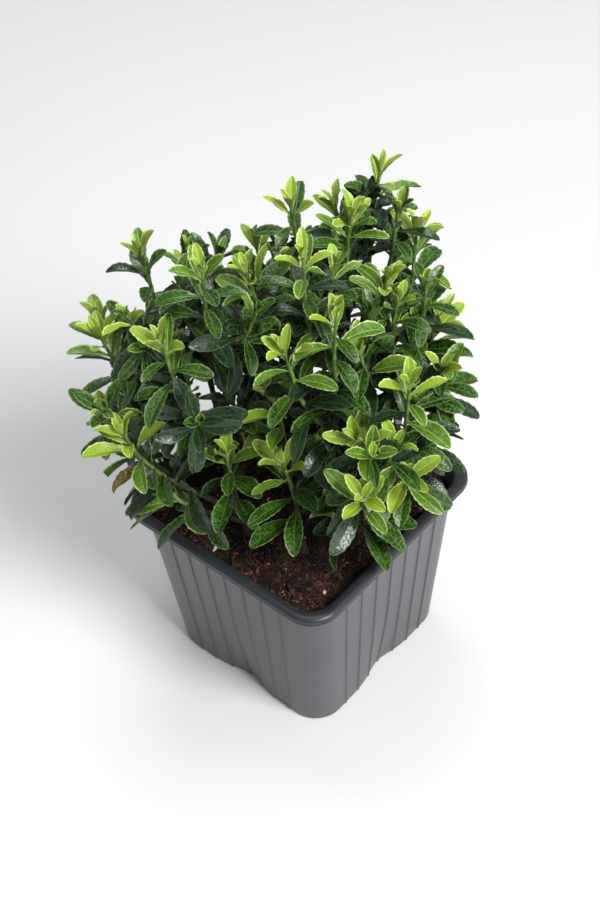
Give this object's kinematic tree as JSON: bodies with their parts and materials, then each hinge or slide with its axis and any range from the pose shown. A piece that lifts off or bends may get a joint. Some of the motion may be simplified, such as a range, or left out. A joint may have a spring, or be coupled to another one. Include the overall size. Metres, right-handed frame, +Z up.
{
  "type": "potted japanese spindle shrub",
  "caption": "Young evergreen japanese spindle shrub, several leafy stems growing in compost in a tapered, ribbed square nursery pot.",
  "frame": {"origin": "centre of the pot's flat underside", "axes": "+Z up, from the underside to the crown; the pot's four sides face +X, -X, +Y and -Y, and its front corner, as the picture shows it, lies between +X and -Y"},
  "size_m": [0.1742, 0.1646, 0.2634],
  "materials": {
    "pot_plastic": "satin dark grey moulded plastic",
    "compost_peat": "rough, moist peat and bark compost",
    "bark": "dull grey-green young bark",
    "leaf_green": "glossy, leathery evergreen leaves"
  },
  "bodies": {
    "root": {"bough_back_left": "bark", "bough_back_low": "bark", "bough_back_out": "bark", "bough_back_right": "bark", "bough_front_mid": "bark", "bough_front_right": "bark", "bough_left_back": "bark", "bough_left_corner": "bark", "bough_left_front": "bark", "bough_left_low": "bark", "bough_left_low_back": "bark", "bough_left_mid": "bark", "bough_left_out": "bark", "bough_left_top": "bark", "bough_mid": "bark", "bough_right_back": "bark", "bough_right_front": "bark", "bough_right_low": "bark", "bough_right_mid": "bark", "bough_right_out": "bark", "bough_top_back": "bark", "bough_top_mid": "bark", "bough_top_right": "bark", "compost": "compost_peat", "foliage_back_left": "leaf_green", "foliage_back_low": "leaf_green", "foliage_back_out": "leaf_green", "foliage_back_right": "leaf_green", "foliage_front": "leaf_green", "foliage_front_left": "leaf_green", "foliage_front_mid": "leaf_green", "foliage_front_right": "leaf_green", "foliage_left_back": "leaf_green", "foliage_left_corner": "leaf_green", "foliage_left_front": "leaf_green", "foliage_left_low": "leaf_green", "foliage_left_low_back": "leaf_green", "foliage_left_mid": "leaf_green", "foliage_left_out": "leaf_green", "foliage_left_top": "leaf_green", "foliage_low_right": "leaf_green", "foliage_mid": "leaf_green", "foliage_right_back": "leaf_green", "foliage_right_front": "leaf_green", "foliage_right_low": "leaf_green", "foliage_right_mid": "leaf_green", "foliage_right_out": "leaf_green", "foliage_top_back": "leaf_green", "foliage_top_mid": "leaf_green", "foliage_top_right": "leaf_green", "pot": "pot_plastic", "stem_back": "bark", "stem_front": "bark", "stem_front_low": "bark", "stem_left": "bark", "stem_middle": "bark", "stem_right": "bark", "stem_right_low": "bark"}
  },
  "joints": []
}
